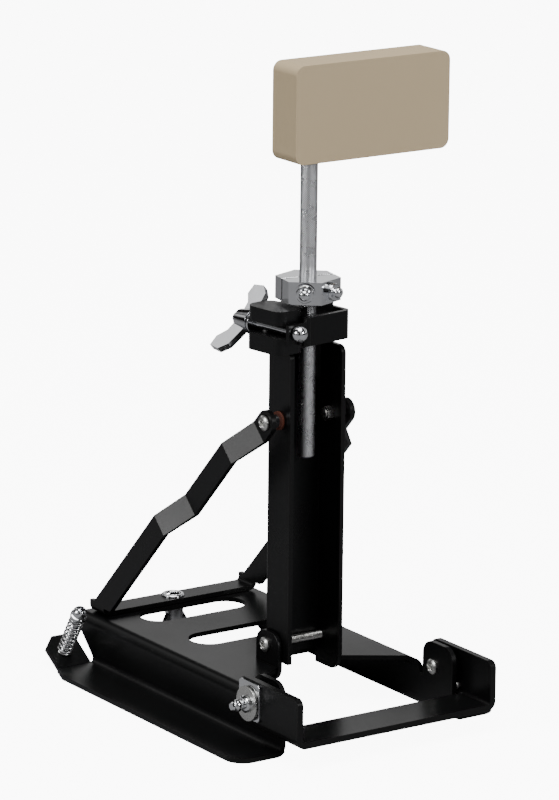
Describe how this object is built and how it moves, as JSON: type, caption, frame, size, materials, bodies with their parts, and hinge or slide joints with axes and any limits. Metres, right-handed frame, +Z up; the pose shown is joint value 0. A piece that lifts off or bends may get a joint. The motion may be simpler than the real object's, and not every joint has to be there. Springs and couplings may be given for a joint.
{
  "type": "kick drum practice pad stand",
  "caption": "Folding floor stand with a tan rubber practice pad on a knurled, height-adjustable mast and a front bar for a drum pedal.",
  "frame": {"origin": "Centre of the bounding box on the floor, below the stand", "axes": "+X to the right seen from the pedal end, +Y away from the pedal towards the spurs, +Z up along the mast"},
  "size_m": [0.194, 0.2638, 0.404],
  "materials": {
    "black_coat": "satin powder coat",
    "black_casting": "satin coated casting",
    "dark_screw": "black oxide",
    "zinc_steel": "zinc plated",
    "chrome_steel": "polished chrome",
    "chrome_casting": "chromed casting",
    "black_plastic": "moulded",
    "spring_steel": "zinc plated wire",
    "red_fibre": "pressed fibre",
    "knurled_steel": "nickel plated, diamond knurl",
    "tan_rubber": "smooth moulded gum rubber",
    "core_aluminium": "raw casting"
  },
  "bodies": {
    "base": {"base_plate": "black_coat", "hinge_ear_left": "black_coat", "hinge_ear_right": "black_coat", "hinge_bolt": "zinc_steel", "hinge_nut": "zinc_steel", "pivot_screw": "zinc_steel", "pivot_spacers": "black_plastic", "pivot_nuts": "zinc_steel", "spur_spring_left": "spring_steel", "spur_spring_right": "spring_steel"},
    "spur_left_body": {"spur_left": "chrome_steel"},
    "spur_right_body": {"spur_right": "chrome_steel"},
    "yoke_screw": {"yoke_wing_screw": "chrome_steel"},
    "post": {"post_channel": "black_coat", "clamp_body": "black_casting", "clamp_strap": "black_coat", "clamp_jaw": "black_casting", "clamp_bolt": "chrome_steel", "clamp_washer": "chrome_steel", "clamp_screws": "dark_screw", "brace_spacers": "chrome_steel", "brace_washers": "red_fibre", "brace_screws": "zinc_steel", "brace_nuts": "zinc_steel"},
    "wing_nut": {"clamp_wing_nut": "chrome_casting"},
    "yoke": {"brace_yoke": "black_coat", "yoke_washer": "chrome_steel"},
    "pedal_frame": {"pedal_bar": "black_coat", "slide_plate": "zinc_steel", "stop_screw": "zinc_steel"},
    "key_bolt": {"pivot_key_bolt": "chrome_steel", "pivot_washer": "zinc_steel"},
    "memory_lock": {"lock_front": "chrome_casting", "lock_rear": "chrome_casting", "lock_key_screws": "chrome_steel", "lock_join_screws": "dark_screw"},
    "mast": {"mast_rod": "knurled_steel", "pad_block": "tan_rubber", "pad_core": "core_aluminium"}
  },
  "joints": [
    {"name": "post_fold", "type": "hinge", "parent": "base", "child": "post", "pos_m": [0, -0.02445, 0.0425], "axis": [1, 0, 0], "range_deg": [0, 90]},
    {"name": "brace_fold", "type": "hinge", "parent": "post", "child": "yoke", "pos_m": [0, -0.03215, 0.1855], "axis": [1, 0, 0], "range_deg": [-39.6, 0]},
    {"name": "mast_height", "type": "slide", "parent": "post", "child": "memory_lock", "axis": [0, 0, 1], "range_m": [-0.0015, 0.06]},
    {"name": "mast_turn", "type": "hinge", "parent": "memory_lock", "child": "mast", "pos_m": [0, -0.03165, 0.2655], "axis": [0, 0, 1], "continuous": true},
    {"name": "wing_nut_turn", "type": "hinge", "parent": "post", "child": "wing_nut", "pos_m": [-0.02711, -0.01122, 0.2439], "axis": [-0.1392, 0.9903, 0], "continuous": true},
    {"name": "yoke_screw_turn", "type": "hinge", "parent": "base", "child": "yoke_screw", "pos_m": [0, 0.11545, 0.028], "axis": [0, 0, 1], "continuous": true},
    {"name": "key_bolt_turn", "type": "hinge", "parent": "base", "child": "key_bolt", "pos_m": [-0.064, -0.08245, 0.0295], "axis": [1, 0, 0], "continuous": true},
    {"name": "pedal_bar_tilt", "type": "hinge", "parent": "base", "child": "pedal_frame", "pos_m": [0, -0.08245, 0.0295], "axis": [1, 0, 0], "range_deg": [-45, 0]},
    {"name": "spur_left_turn", "type": "hinge", "parent": "base", "child": "spur_left_body", "pos_m": [-0.0802, 0.11891, 0.0097], "axis": [0, -0.5299, 0.848], "continuous": true},
    {"name": "spur_right_turn", "type": "hinge", "parent": "base", "child": "spur_right_body", "pos_m": [0.0802, 0.11891, 0.0097], "axis": [0, -0.5299, 0.848], "continuous": true}
  ],
  "couplings": [
    {"joint": "brace_fold", "follows": "post_fold", "ratio": -0.44}
  ]
}
